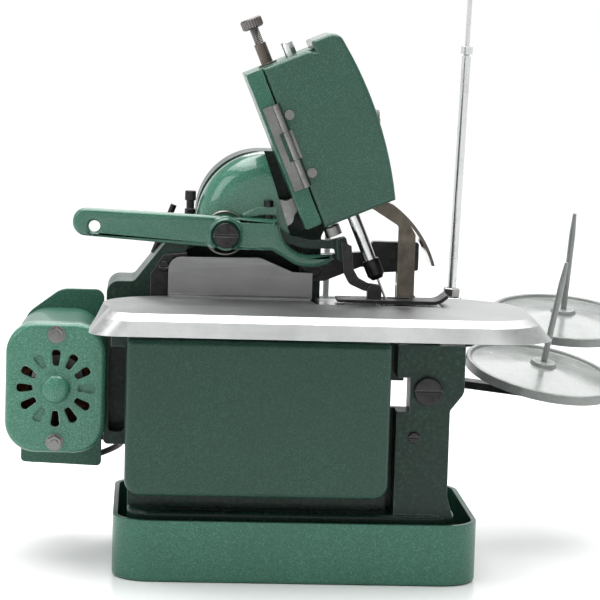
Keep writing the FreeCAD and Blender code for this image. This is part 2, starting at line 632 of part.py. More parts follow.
def make_belt():
    body = new_body("drive_belt")
    slab(body, "XZ", belt_points(54, 14), 85.5, "belt_width")
    slab(body, "XZ", belt_points(50, 10), 85.5, "belt_width", remove=True)
    keep(body, "drive_belt")


# ---------------------------------------------------------------- needle drive
def make_rocker():
    """The rocker shaft and its forked needle arm, which reaches the needle bar's driving pin."""
    x, z = size("rocker_x"), size("rocker_z")
    tip = head_point(0, 30)
    reach = math.hypot(tip[0] - x, tip[1] - z)
    rise = math.degrees(math.atan2(tip[1] - z, tip[0] - x))
    arm = new_body("rocker_arm")
    outline = [(-9, -9, 8.9), (14, -9, 4), (18, -4.5, 6), (reach - 14, -4.5, 3), (reach - 9, -7.5, 3),
               (reach + 12, -7.5, 1), (reach + 12, -3.5), (reach - 3.5, -3.5, 3.4), (reach - 3.5, 3.5, 3.4),
               (reach + 12, 3.5), (reach + 12, 7.5, 1), (reach - 9, 7.5, 3), (reach - 14, 4.5, 3),
               (18, 4.5, 6), (14, 9, 4), (-9, 9, 8.9)]
    slab(arm, "XZ", outline, 5, "fork_depth")
    arm.Placement = Placement(Vector(x, 0, z), Rotation(Y_AXIS, -rise))
    shaft = rod("rocker_rod", "rocker_radius", "rocker_length", (x, 5, z), (0, 1, 0))
    collar = rod("rocker_collar", "collar_radius", "collar_width", (x, 58.4, z), (0, 1, 0))
    keep(joined("needle_rocker", [arm, shaft, collar]), "needle_rocker")


def make_needle_bar():
    """The needle bar with its driving block and pin, the clamp and the needle."""
    tilt = head_placement()
    bar = turned("bar_rod", [(0, -31), (size("bar_radius"), -31), (size("bar_radius"), 122, 1), (0, 122)])
    bar.Placement = tilt * Placement(Vector(0, BAR_Y, 0), Rotation())
    driver = new_body("bar_driver")
    slab(driver, "XZ", rectangle(-6.5, 23, 6.5, 37, 1.5), BAR_Y - 6, "driver_depth")
    driver.Placement = tilt
    pin = rod("bar_pin", "post_radius", "bar_pin_length", in_head(0, BAR_Y + 5, 30), (0, 1, 0))
    keep(joined("needle_bar", [bar, driver, pin]), "needle_bar")
    outer, needle = size("clamp_radius"), size("needle_radius")
    ring = [(needle, -37), (outer - 2, -37), (outer, -34), (outer, -24, 1), (size("bar_radius"), -24),
            (size("bar_radius"), -31), (needle, -31)]
    clamp = turned("needle_clamp", ring)
    clamp.Placement = tilt * Placement(Vector(0, BAR_Y, 0), Rotation())
    keep(clamp, "needle_clamp")
    point = turned("needle", [(0, -59), (0.15, -58.8), (needle, -52), (needle, -31), (0, -31)])
    point.Placement = tilt * Placement(Vector(0, BAR_Y, 0), Rotation())
    keep(point, "needle")


# ---------------------------------------------------------------- loopers, knives and feed
def make_loopers():
    """Two rocking loopers, each with its own shaft in the rear wall."""
    outlines = {
        "lower_looper": [(13, 126, 5), (27, 126, 5), (49, 143, 3), (60, 158, 0.5), (57, 159.5, 0.5), (42, 150, 3),
                         (26, 139, 5), (13, 139, 5)],
        "upper_looper": [(33, 128, 5), (47, 128, 5), (72, 144, 5), (77, 170, 4), (63, 179, 0.5), (65, 174, 0.5),
                         (70, 167, 3), (65, 149, 4), (44, 141, 5), (33, 141, 5)],
    }
    for label, (x, z, front) in LOOPER_SHAFTS.items():
        blade = new_body(f"{label}_blade")
        slab(blade, "XZ", outlines[label], front, "looper_thick")
        shaft = rod(f"{label}_shaft", "bar_radius", 57.5 - front, (x, front, z), (0, 1, 0))
        keep(joined(label, [blade, shaft]), label)


def make_knives():
    """The fixed lower knife and the rocking upper knife with its holder."""
    holder = block("lower_holder", (66, 13.2, 142), (78, 20, 160))
    blade = block("lower_blade", (64, 13.2, 150), (76, 15.2, 167.4))
    keep(joined("lower_knife", [holder, blade]), "lower_knife")
    body = new_body("upper_knife_arm")
    arm = [(2, 178, 7), (2, 194, 7), (42, 197, 3), (49, 204, 1.5), (78, 204, 1.5), (78, 186, 1.5), (50, 184, 3),
           (42, 188, 3), (18, 178, 6)]
    slab(body, "XZ", arm, 13, "knife_arm")
    disc(body, "XZ", 10, 186, "knife_bore", 12, "knife_drill", remove=True)
    blade = block("upper_blade", (64, 15.3, 166.4), (76, 17.3, 190))
    keep(joined("upper_knife", [body, blade]), "upper_knife")


def make_feed_dog():
    """The feed dog: toothed rows on a carrier bar."""
    body = new_body("feed_dog")
    slab(body, "XZ", rectangle(20, 150.5, 56, 157, 1), -26, "feed_width")
    teeth = [(29, 156), (48, 156), (48, 168)]
    pitch = 2.0
    for i in range(9):
        x = 47.0 - i * pitch
        teeth += [(x, 167.2), (x - 1.0, 168)]
    teeth += [(29, 167.2)]
    slab(body, "XZ", teeth, -25, "feed_rows")
    keep(body, "feed_dog")


# ---------------------------------------------------------------- lifter and presser
def make_lever():
    """The lifter lever: long arm with a hole for the pedal chain, a boss and a hook under the presser arm."""
    body = new_body("lifter_lever")
    outline = [(-141.5, 223.8, 8.1), (-56, 220.8), (-36.9, 219.6), (-14, 219.4, 2), ("arc", -9.5, 205.5, 4, 197.6),
               (20.5, 198.2, 1), (21.8, 195, 1), ("arc", 6, 189.8, -8.5, 194.6), (-17, 199.6, 4), (-55.4, 201.1),
               (-141.5, 206.9, 8.1)]
    slab(body, "XZ", outline, -24, "lever_thick")
    disc(body, "XZ", size("lever_x"), size("lever_z"), "lever_boss", -26, "boss_depth_lever")
    slab(body, "XZ", rectangle(8, 191.2, 19, 195.8), -18, "hook_depth")
    disc(body, "XZ", size("lever_x"), size("lever_z"), "pivot_bore", -28, "lever_drill", remove=True)
    disc(body, "XZ", -128, 212.4, "hole_radius", -28, "lever_drill", remove=True)
    keep(body, "lifter_lever")


def make_presser():
    """The presser arm behind the lever, the foot's shank, the hinged sole and the bar that presses the arm."""
    body = new_body("presser_arm")
    outline = [(-56, 199.5, 8), (-56, 218.5, 8), (-20, 218.5, 8), (-7, 209, 10), (6, 206.6, 5), (18, 206.6, 3),
               (28.5, 209.3, 1.2), (31.4, 200), (33.5, 194.5, 1.2), (24, 194.5, 1.2), (21.5, 201.4, 2),
               (2, 201.4, 8), (-14, 206, 10), (-30, 199.5, 8)]
    slab(body, "XZ", outline, -16.5, "presser_thick")
    end = [(24, 194.5, 1), (23, 207.4, 1), (28.5, 209.3, 1), (31.4, 200), (33.5, 194.5, 1)]
    slab(body, "XZ", end, -20.5, "end_depth")
    disc(body, "XZ", size("lever_x"), size("lever_z"), "pivot_bore", -20, "lever_drill", remove=True)
    keep(body, "presser_arm")

    body = new_body("foot_shank")
    curve = [(25.5, 207), (32, 204), (33.4, 190, 3), (37, 184, 4), (43, 181, 4), (51, 180, 1), (51, 174.6, 1),
             (40, 176.4, 5), (31, 180.4, 5), (27.6, 187, 3)]
    slab(body, "XZ", curve, -24.5, "shank_thick")
    disc(body, "XZ", 47, 177.4, "foot_bore", -30, "shank_drill", remove=True)
    keep(body, "foot_shank")

    body = new_body("foot_sole")
    bottom, thick = 168.4, size("sole_thick")
    sole = [(24, bottom + 0.7), (47, bottom), (88, bottom, 12), (93.5, 173.2), (92.6, 175),
            (87, bottom + thick, 10), (24, bottom + thick)]
    slab(body, "XZ", sole, -27, "sole_width")
    slab(body, "XY", rectangle(48.5, -15.6, 70, -8.4, 2.5), 166, "sole_cutter", remove=True)
    for start in (-26.4, -20.4):
        slab(body, "XZ", [(42.6, 170), (51.4, 170), (51.4, 180.2, 3.5), (42.6, 180.2, 3.5)], start, "lug_thick")
    disc(body, "XZ", 47, 177.4, "foot_pin", -26.4, "pin_length")
    keep(body, "foot_sole")

    low = in_head(PRESSER_ACROSS, PRESSER_Y, -1.5)
    thin = size("presser_rod")
    bar = turned("presser_rod_body", [(0, 0), (thin + 2.2, 0), (thin + 2.2, 6.5, 1), (thin, 6.5), (thin, 41.5, 1),
                                      (0, 41.5)])
    bar.Placement = Placement(Vector(*low), head_placement().Rotation)
    keep(bar, "presser_bar")
    knob = [(0, 82), (size("adjuster"), 82), (size("adjuster"), 137), (6.8, 137, 1), (6.8, 143.5, 1), (0, 143.5)]
    screw = turned("adjusting_screw", knob)
    screw.Placement = head_placement() * Placement(Vector(PRESSER_ACROSS, PRESSER_Y, 0), Rotation())
    keep(screw, "adjusting_screw")
    coils = []
    for i in range(9):
        coil = doc.addObject("Part::Torus", f"presser_coil_{i}")
        coil.Radius1, coil.Radius2 = 4.2, 0.7
        place = Vector(PRESSER_ACROSS, PRESSER_Y, 45.5 + 4.4 * i)
        coil.Placement = head_placement() * Placement(place, Rotation())
        coils.append(coil)
    group("presser_spring", coils)
    rings = []
    for i in range(3):
        coil = doc.addObject("Part::Torus", f"lever_coil_{i}")
        coil.setExpression("Radius1", cell("spring_radius"))
        coil.Radius2 = size("spring_wire") / 2
        coil.Placement = axis_placement((size("lever_x"), -9.4 + 1.7 * i, size("lever_z")), (0, 1, 0))
        rings.append(coil)
    group("lever_spring", rings)


# ---------------------------------------------------------------- screws and pins
def slotted(name, head, thick, shank, length, base, direction):
    """A black slotted screw: its head starts at the base, its shank follows the direction."""
    body = turned(name, [(0, 0), (head, 0, 0.8), (head, thick), (shank, thick), (shank, length), (0, length)])
    sketch = new_sketch(body, "XY", 1.6)
    sketch.addGeometry(corner_edges(rectangle(-head - 1, -0.7, head + 1, 0.7)), False)
    cut = body.newObject("PartDesign::Pocket", f"{name}_slot")
    cut.Profile = sketch
    cut.Length = 1.6
    body.Placement = axis_placement(base, direction)
    doc.recompute()
    return body


def make_fasteners():
    """Shoulder screws, pivots, hinge pin, oil cap and stop screw, all blackened steel."""
    items = [
        slotted("lever_pivot", size("screw_head"), 3, size("pivot_radius"), 52,
                (size("lever_x"), -29.1, size("lever_z")), (0, 1, 0)),
        slotted("column_screw", 8.8, 4, 5, 22, (79, -64, 119), (0, 1, 0)),
        slotted("column_small", 3.6, 2, 2, 8, (71.3, -62, 90), (0, 1, 0)),
        slotted("knife_pivot_screw", 6, 2.8, 3.95, 26, (KNIFE_PIVOT[0], 10, KNIFE_PIVOT[1]), (0, 1, 0)),
        slotted("guard_screw_body", 3.4, 2.4, 1.5, 9, (GUARD_SCREW[0], 1, GUARD_SCREW[1]), (0, 1, 0)),
        rod("stud", "stud_radius", "stud_length", STUD_FOOT, STUD_LEAN),
    ]
    items.append(rod("plate_pin", "pivot_pin", "pivot_pin_length", (*PIVOT, 142)))
    cap = [(0, 0), (3.5, 0), (3.5, 4, 0.6), (2.5, 4.4), (2.5, 9), (3.5, 9.6), (3.5, 15.6, 0.8), (0, 15.6)]
    items.append(turned("oil_cap", cap, (-68.4, 14.2, 218)))
    items.append(turned("stop_screw", [(0, 0), (3, 0), (3, 4, 0.8), (0, 4)], (-19.6, -7.1, 226)))
    items.append(turned("stop_nut", [(0, 0), (3, 0), (3, 2.6, 0.5), (0, 2.6)], (-19.6, -7.1, 218.4)))
    group("fasteners", items)


# ---------------------------------------------------------------- motor
def motor_placement(y=0):
    return Placement(Vector(size("motor_x"), y, size("motor_z")), Rotation())


def polar_three(body, feature):
    pattern = body.newObject("PartDesign::PolarPattern", f"{body.Name}_polar")
    pattern.Originals = [feature]
    axis = [f for f in body.Origin.OriginFeatures if f.Role == "Y_Axis"][0]
    pattern.Axis = (axis, [""])
    pattern.Angle = 360
    pattern.Occurrences = 3
    body.Tip = pattern
    doc.recompute()


def slot_outline(angle, inner, outer, inner_width, outer_width):
    """A radial vent slot, wider at its outer end."""
    turn = math.radians(angle)

    def at(radius, side):
        return (radius * math.cos(turn) - side * math.sin(turn), radius * math.sin(turn) + side * math.cos(turn))
    return [at(inner, -inner_width / 2) + (1.2,), at(outer, -outer_width / 2) + (2.2,),
            at(outer, outer_width / 2) + (2.2,), at(inner, inner_width / 2) + (1.2,)]


def make_motor():
    """The sewing motor: vented end bell, housing, stator, shaft with core, fan, pulley and tie bolts."""
    bell = new_body("motor_end_bell")
    slab(bell, "XZ", rectangle(-31, -40.3, 31, 40.3, 19), -40, "bell_depth")
    round_edges(bell, 3.5, level_edges("Y", -40))
    slab(bell, "XZ", rectangle(-25, -25, 25, 25, 24.9), -35, "bell_hollow", remove=True)
    for angle in (0, 30, 60, 90):
        depth = "shallow_slot" if angle == 0 else "bell_wall"
        slot = slab(bell, "XZ", slot_outline(120 - angle, 14, 24, 3.6, 6.0), -41, depth, remove=True)
        polar_three(bell, slot)
    disc(bell, "XZ", 0, 0, "bearing_boss", -42, "bearing_depth")
    disc(bell, "XZ", 0, 0, "motor_bearing", -38, "bearing_drill", remove=True)
    for z in (-33.6, 33.6):
        disc(bell, "XZ", 0, z, "tie_hole", -42, "tie_drill", remove=True)
    bell.Placement = motor_placement()
    keep(bell, "motor_end_bell")

    house = new_body("motor_housing")
    slab(house, "XZ", rectangle(-28, -39, 28, 39, 20), -27, "housing_length")
    disc(house, "XZ", 0, 0, "housing_bore", -27, "housing_hollow", remove=True)
    disc(house, "XZ", 0, 0, "motor_bearing", 40, "bearing_drill", remove=True)
    for z in (-33.6, 33.6):
        disc(house, "XZ", 0, z, "tie_hole", -30, "tie_long", remove=True)
    house.Placement = motor_placement()
    keep(house, "motor_housing")

    ring = [(17.4, 0), (size("housing_bore") - 0.05, 0), (size("housing_bore") - 0.05, 40), (17.4, 40)]
    keep(turned("motor_stator", ring, (size("motor_x"), -8, size("motor_z")), (0, 1, 0)), "motor_stator")
    x, z = size("motor_x"), size("motor_z")
    shaft = [(0, 0), (size("motor_shaft"), 0), (size("motor_shaft"), 30), (16.5, 30), (16.5, 66),
             (size("motor_shaft"), 66), (size("motor_shaft"), 134), (0, 134)]
    keep(turned("motor_shaft_body", shaft, (x, -37, z), (0, 1, 0)), "motor_shaft")
    fan = new_body("motor_fan")
    disc(fan, "XZ", 0, 0, "fan_radius", 37, "fan_plate")
    for i in range(8):
        blade = new_sketch(fan, "XZ", -44)
        turn = math.radians(45 * i)
        corners = [(7, -0.8), (21, -0.8), (21, 0.8), (7, 0.8)]
        spun = [(a * math.cos(turn) - b * math.sin(turn), a * math.sin(turn) + b * math.cos(turn))
                for a, b in corners]
        blade.addGeometry(corner_edges(spun), False)
        extrude(fan, blade, "fan_blade", False)
    disc(fan, "XZ", 0, 0, "motor_shaft", 30, "fan_drill", remove=True)
    fan.Placement = motor_placement()
    keep(fan, "motor_fan")
    bore = size("motor_shaft")
    groove = [(bore, 0), (15, 0), (15, 2.3), (9.5, 5.6), (9.5, 10.4), (15, 13.7), (15, 16), (bore, 16)]
    keep(turned("motor_pulley", groove, (x, 80, z), (0, 1, 0)), "motor_pulley")
    bolts = []
    for i, dz in enumerate((-33.6, 33.6)):
        bolts.append(rod(f"tie_{i}", "tie_radius", "tie_length", (x, -47, z + dz), (0, 1, 0)))
        washer = [(2.4, 0), (5.4, 0), (5.4, 1), (2.4, 1)]
        bolts.append(turned(f"washer_{i}", washer, (x, -41, z + dz), (0, 1, 0)))
        nut = new_body(f"nut_{i}")
        corners = [(4.62 * math.cos(math.radians(60 * k + 30)), 4.62 * math.sin(math.radians(60 * k + 30)))
                   for k in range(6)]
        slab(nut, "XZ", corners, -45, "nut_height")
        disc(nut, "XZ", 0, 0, "tie_radius", -46, "nut_drill", remove=True)
        nut.Placement = motor_placement(0) * Placement(Vector(0, 0, dz), Rotation())
        bolts.append(nut)
    for height in BRACKET_SCREWS:
        bolts.append(slotted(f"bracket_screw_{height}", 4.5, 4, 2.4, 18, (-113, 66, height), (0, -1, 0)))
    group("motor_fasteners", bolts)

    plate = new_body("motor_bracket")
    outline = [(-174.5, 50, 3), (-122, 48, 3), (-122, 75), (-106, 75, 2), (-106, 146, 2), (-122, 146),
               (-122, 164.4, 6), (-150, 164.4, 14), (-174.5, 146, 18)]
    slab(plate, "XZ", outline, 58, "bracket_thick")
    disc(plate, "XZ", x, z, "bracket_bore", 58, "bracket_thick", remove=True)
    for dz in (-33.6, 33.6):
        disc(plate, "XZ", x, z + dz, "tie_hole", 58, "bracket_thick", remove=True)
    for height in BRACKET_SCREWS:
        disc(plate, "XZ", -113, height, "bracket_screw", 58, "bracket_thick", remove=True)
    keep(plate, "motor_bracket")


LEAD_ROUTE = [(-129, 44, 69.8), (-117.4, 44, 69.8), (-109.2, 52.2, 67), (-109.2, 63.8, 62), (-117.4, 72, 56),
              (-129, 72, 52), (-140, 72, 52)]


def tube_along(name, route, radius):
    """A round lead along straight runs joined by tangent arcs."""
    points = [Vector(*p) for p in route]
    edges = []
    last = points[0]
    for i in range(1, len(points) - 1):
        back, on = points[i - 1] - points[i], points[i + 1] - points[i]
        half = back.getAngle(on) / 2
        run = min(back.Length, on.Length)
        bend = 0.45 * run * math.tan(half)
        print(f"{name}: bend {i} radius {bend:.1f} mm")
        back.normalize()
        on.normalize()
        start, end = points[i] + back * (0.45 * run), points[i] + on * (0.45 * run)
        middle = points[i] + (back + on).normalize() * (bend / math.sin(half) - bend)
        edges += [Part.LineSegment(last, start).toShape(), Part.Arc(start, middle, end).toShape()]
        last = end
    edges.append(Part.LineSegment(last, points[-1]).toShape())
    path = Part.Wire(edges)
    heading = points[1] - points[0]
    ring = Part.Wire([Part.makeCircle(radius, points[0], heading)])
    solid = path.makePipeShell([ring], True, False)
    print(f"{name}: length {path.Length:.1f} mm, volume error "
          f"{solid.Volume / (math.pi * radius ** 2 * path.Length) - 1:.4f}")
    piece = doc.addObject("Part::Feature", name)
    piece.Shape = solid
    return piece


def make_lead():
    """The motor's lead: a sleeve under the housing, a loop round the bracket's edge, a terminal box."""
    sleeve = turned("lead_sleeve", [(0, 0), (4.2, 0), (2.9, 14, 0.6), (0, 14)], (-143, 44, 69.8), (1, 0, 0))
    boot = block("lead_boot", (-156, 38.5, 66), (-142, 49.5, 74))
    keep(joined("strain_relief", [sleeve, boot]), "strain_relief")
    keep(tube_along("motor_lead", LEAD_ROUTE, size("lead_radius")), "motor_lead")
    box = new_body("terminal_box")
    slab(box, "YZ", rectangle(62, 48.5, 82, 74, 2), -168, "box_length")
    for y in (68, 76):
        disc(box, "YZ", y, 64, "contact_hole", -168, "contact_depth", remove=True)
    keep(box, "terminal_socket")


# ---------------------------------------------------------------- thread stand and tensions
MAST_FOOT = (111, 110, 152.2)
MAST_LEAN = (0.028, 0, 1)
# each disc's centre, the way its pin points, and the height of the arm that carries it
DISCS = {"near": ((167.4, 60, 118), (0.155, -0.20, 1), 102),
         "far": ((195.8, 160, 142), (0.045, -0.20, 1), 128),
         "rear": ((30, 168, 142), (0, -0.08, 1), 128)}


def make_stand():
    """The thread stand: bracket on the body's rear wall, three arms, dished discs, pins and the mast."""
    body = new_body("stand_plate")
    slab(body, "XY", [(24, 58), (54, 58), (118, 98, 6), (124, 113, 9), (107, 124, 9), (24, 70)], 147, "arm_bar")
    slab(body, "XZ", rectangle(24, 118, 54, 148), 58, "arm_bar")
    arms, dishes, pins = [body], [], []
    post = turned("stand_post", [(0, 0), (7, 0), (7, 49), (0, 49)], (111, 110, 98))
    arms.append(post)
    reach = size("disc_radius")
    for name, (centre, up, height) in DISCS.items():
        bore, pin_radius = size("pin_tenon"), size("spool_pin")
        section = [(bore, 0), (9, 0), (reach, -5.4), (reach, 0.6, 0.8), (reach - 2.6, 0.6, 0.8),
                   (reach - 3.6, -1.8, 1), (9, 3.2), (8, 6, 1), (bore, 6)]
        dish = turned(f"dish_{name}", section)
        dish.Placement = axis_placement(centre, up)
        dishes.append(dish)
        pin = turned(f"pin_{name}", [(0, 0), (bore, 0), (bore, 6.5), (pin_radius, 6.5), (pin_radius, 60),
                                     (1.2, 75, 0.8), (0, 75)])
        pin.Placement = axis_placement(centre, up)
        pins.append(pin)
        arms += make_arm_to(name, centre, up, height)
    keep(joined("stand_frame", arms), "stand_bracket")
    group("spool_discs", dishes)
    group("spool_pins", pins)

    lean = Vector(*MAST_LEAN)
    length = size("mast_length")
    bore, outer = size("mast_bore"), size("mast_radius")
    tube = turned("mast_lower", [(0, 0), (7.4, 0), (7.4, 7, 1), (outer, 7.5), (outer, length - 6),
                                 (outer + 1, length - 5), (outer + 1, length), (bore, length), (bore, 10), (0, 10)])
    tube.Placement = axis_placement(MAST_FOOT, MAST_LEAN)
    keep(tube, "mast_lower")
    upper = turned("mast_upper", [(0, 130), (size("rod_radius"), 130), (size("rod_radius"), 318), (0, 318)])
    upper.Placement = axis_placement(MAST_FOOT, MAST_LEAN)
    keep(upper, "mast_upper")
    top = Vector(*MAST_FOOT) + lean.normalize() * 318
    make_guide(top)


def make_arm_to(name, centre, up, height):
    """A level black bar from the stand's post, past a disc's centre, and the stem that holds the disc."""
    along = Vector(centre[0] - MAST_FOOT[0], centre[1] - MAST_FOOT[1], 0)
    turn = Rotation(Vector(1, 0, 0), along)
    half, thick = 7, size("arm_bar")
    bar = doc.addObject("Part::Box", f"arm_{name}")
    bar.Length = along.Length + (32 if name == "near" else 9)
    bar.Width = 2 * half
    bar.setExpression("Height", cell("arm_bar"))
    start = Vector(MAST_FOOT[0], MAST_FOOT[1], height - thick / 2)
    bar.Placement = Placement(start, turn) * Placement(Vector(0, -half, 0), Rotation())
    drop = centre[2] - height
    lean = Vector(*up)
    foot = Vector(*centre) - lean * drop
    stem = turned(f"stem_{name}", [(0, 0), (5, 0), (5, drop * lean.Length), (0, drop * lean.Length)])
    stem.Placement = axis_placement(foot, up)
    return [bar, stem]


def make_guide(top):
    """The thread guide on the mast: a hub and a bent strip with an eyelet over each disc."""
    hub = turned("guide_hub", [(0, 0), (5, 0, 0.8), (5, 10, 0.8), (0, 10)], (top.x, top.y, top.z))
    pieces = [hub]
    for name, (centre, _, _) in DISCS.items():
        goal = Vector(centre[0], centre[1], top.z + 4)
        along = goal - Vector(top.x, top.y, top.z + 4)
        wire = doc.addObject("Part::Cylinder", f"guide_wire_{name}")
        wire.Radius = 1.3
        wire.Height = along.Length - 5
        wire.Placement = Placement(Vector(top.x, top.y, top.z + 4), Rotation(Z_AXIS, along))
        ring = doc.addObject("Part::Torus", f"guide_eye_{name}")
        ring.Radius1, ring.Radius2 = 5, 1.3
        ring.Placement = Placement(goal, Rotation())
        pieces += [wire, ring]
    keep(joined("thread_guide", pieces), "thread_guide")


TENSIONS = {"tension_knob_1": (41, 243), "tension_knob_2": (41, 261.5), "tension_knob_3": (41, 280)}


def make_tensions():
    """The tension bracket on the neck: three posts, disc pairs with springs, and three knobs."""
    pieces = [block("tension_plate", (30, 26, 233), (32.5, 56, 290))]
    discs = []
    radius, post = size("disc_pair_radius"), size("post_radius")
    for label, (y, z) in TENSIONS.items():
        pieces.append(rod(f"{label}_post", "post_radius", "post_length", (32.5, y, z), (1, 0, 0)))
        pair = [(post, 0), (4, 0), (radius, 1.6), (radius, 2.2), (5, 2.8), (5, 9), (post, 9)]
        discs.append(turned(f"{label}_discs", pair, (33.2, y, z), (1, 0, 0)))
        knob = [(post + 0.05, 0), (6, 0), (7, 1, 0.5), (7, 9, 0.8), (post + 0.05, 9)]
        keep(turned(f"{label}_body", knob, (43.2, y, z), (1, 0, 0)), label)
    keep(joined("tension_bracket", pieces), "tension_bracket")
    group("tension_discs", discs)


# ---------------------------------------------------------------- finish
def check_and_write():
    doc.recompute()
    for thing in doc.Objects:
        if "Invalid" in thing.State or "Error" in thing.State:
            raise ValueError(f"{thing.Label} did not build: {thing.State}")
    os.makedirs("parts", exist_ok=True)
    for piece in PIECES:
        if piece.Shape.isNull() or not piece.Shape.isValid():
            raise ValueError(f"{piece.Label} has no valid shape")
        piece.Shape.exportStep(f"parts/{piece.Label}.step")
    print(len(PIECES), "sub-parts written")


make_tray()
make_base()
make_body()
make_arm()
make_dome()
make_head_case()
make_head_cover()
make_hinge()
make_cloth_plate()
make_covers()
make_needle_plate()
make_bushes()
make_main_shaft()
make_belt()
make_rocker()
make_needle_bar()
make_loopers()
make_knives()
make_feed_dog()
make_lever()
make_presser()
make_fasteners()
make_motor()
make_lead()
make_stand()
make_tensions()
check_and_write()
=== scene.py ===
"""The looks of the serger overlock machine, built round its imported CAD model. Lengths are in metres."""

import json
import math

import bmesh
import bpy
from mathutils import Matrix, Vector


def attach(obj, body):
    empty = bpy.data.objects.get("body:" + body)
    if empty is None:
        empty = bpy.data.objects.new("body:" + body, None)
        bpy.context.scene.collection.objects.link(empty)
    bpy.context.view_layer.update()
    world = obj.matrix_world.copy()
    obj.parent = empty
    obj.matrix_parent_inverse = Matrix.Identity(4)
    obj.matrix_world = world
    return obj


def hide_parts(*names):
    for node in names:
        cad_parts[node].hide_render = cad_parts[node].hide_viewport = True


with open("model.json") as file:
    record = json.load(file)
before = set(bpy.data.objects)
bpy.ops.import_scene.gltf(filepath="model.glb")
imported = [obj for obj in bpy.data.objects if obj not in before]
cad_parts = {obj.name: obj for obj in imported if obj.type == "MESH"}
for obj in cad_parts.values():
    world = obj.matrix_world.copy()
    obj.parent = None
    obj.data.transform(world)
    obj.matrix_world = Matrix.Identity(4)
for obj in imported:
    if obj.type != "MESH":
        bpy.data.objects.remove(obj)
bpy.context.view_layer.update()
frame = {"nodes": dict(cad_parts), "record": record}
BODY_OF = {part: body for body, parts in frame["record"]["behaviour"]["bodies"].items() for part in parts}

# The needle head leans back. These run up its case and across it, from a corner of the dome.
HEAD_UP = Vector((-0.3907, 0, 0.9205))
HEAD_ACROSS = Vector((0.9205, 0, 0.3907))
HEAD_ORIGIN = Vector((0.0355, 0, 0.217))
SCREW_ACROSS, SCREW_DEPTH = -0.0155, -0.014

CAMERA_PLACE = (-0.0974021, -1.6556486, 0.3487502)
CAMERA_YAW, CAMERA_PITCH, CAMERA_ROLL = 0.0601, 0.1092, 0.0296
CAMERA_LENS = 158.195
CAMERA_SENSOR = 36
CAMERA_REACH = 50

# The lever's front edges are rounded where its facets meet at more than SHARP_EDGE. Facets that meet at more
# than CRISP_EDGE are shaded apart afterwards.
SHARP_EDGE = math.radians(50)
CRISP_EDGE = math.radians(30)
FLAT_FACETS = math.radians(1)
SAME_POINT = 0.000002
SAME_PLANE = 0.0002
LEVER_FACE = -0.024
LEVER_ROUNDING = 0.0026
LEVER_SEGMENTS = 4

TURNED_SIDES = 48
BEVEL_SAMPLES = 6


def head_point(across, depth, up):
    """A point given across, deep into and up the leaning head."""
    return HEAD_ORIGIN + HEAD_ACROSS * across + HEAD_UP * up + Vector((0, depth, 0))


def make_camera():
    """A long lens in front of the machine, turned a little to its right and tipped down."""
    yaw, pitch, roll = CAMERA_YAW, CAMERA_PITCH, CAMERA_ROLL
    forward = Vector((math.sin(yaw) * math.cos(pitch), math.cos(yaw) * math.cos(pitch), -math.sin(pitch)))
    level = Vector((math.cos(yaw), -math.sin(yaw), 0))
    upright = level.cross(forward)
    right = level * math.cos(roll) + upright * math.sin(roll)
    up = upright * math.cos(roll) - level * math.sin(roll)
    data = bpy.data.cameras.new("camera")
    data.sensor_width = CAMERA_SENSOR
    data.lens = CAMERA_LENS
    data.clip_end = CAMERA_REACH
    camera = bpy.data.objects.new("camera", data)
    bpy.context.scene.collection.objects.link(camera)
    place = Matrix((right, up, -forward)).transposed().to_4x4()
    place.translation = CAMERA_PLACE
    camera.matrix_world = place
    bpy.context.scene.camera = camera


# Materials


def node(tree, kind, inputs=None, **settings):
    """A new shader node with its settings. Its inputs are numbers, or the sockets that feed them."""
    made = tree.nodes.new("ShaderNode" + kind)
    for name, value in settings.items():
        setattr(made, name, value)
    for name, value in (inputs or {}).items():
        if isinstance(value, bpy.types.NodeSocket):
            tree.links.new(value, made.inputs[name])
        else:
            made.inputs[name].default_value = value
    return made


def new_material(name, **inputs):
    """A material with one Principled shader, and that shader's own constant values."""
    material = bpy.data.materials.new(name)
    material.use_nodes = True
    tree = material.node_tree
    tree.nodes.clear()
    shader = node(tree, "BsdfPrincipled")
    for key, value in inputs.items():
        shader.inputs[key.replace("_", " ").title().replace("Ior", "IOR")].default_value = value
    output = node(tree, "OutputMaterial")
    tree.links.new(shader.outputs[0], output.inputs[0])
    return material, tree, shader


def ramp(tree, factor, stops):
    """Colours along a factor: stops are (position, grey or colour)."""
    made = node(tree, "ValToRGB", {"Fac": factor})
    points = made.color_ramp.elements
    while len(points) < len(stops):
        points.new(0.5)
    for point, (position, colour) in zip(points, stops):
        point.position = position
        point.color = (*colour, 1) if isinstance(colour, tuple) else (colour, colour, colour, 1)
    return made.outputs["Color"]


def shaded(colour, shade):
    """A colour made lighter or darker by a factor, and no brighter than white."""
    return tuple(min(1.0, shade * x) for x in colour)


def mixed(tree, factor, first, second):
    """A colour between two colours, each of which may be a socket. The factor is a socket too."""
    made = node(tree, "Mix", data_type="RGBA")
    for socket, value in ((made.inputs[0], factor), (made.inputs[6], first), (made.inputs[7], second)):
        if isinstance(value, bpy.types.NodeSocket):
            tree.links.new(value, socket)
        else:
            socket.default_value = (*value, 1)
    return made.outputs[2]


def noise(tree, place, scale, detail=2.0, roughness=0.5):
    """Soft noise, finer as the scale grows."""
    settings = {"Vector": place, "Scale": scale, "Detail": detail, "Roughness": roughness}
    return node(tree, "TexNoise", settings).outputs["Fac"]


def stretched(tree, place, along, scale, detail=3.0):
    """Noise drawn out into fine lines, from scale factors along x, y and z."""
    mapped = node(tree, "Mapping", {"Vector": place, "Scale": along}).outputs["Vector"]
    return noise(tree, mapped, scale, detail)


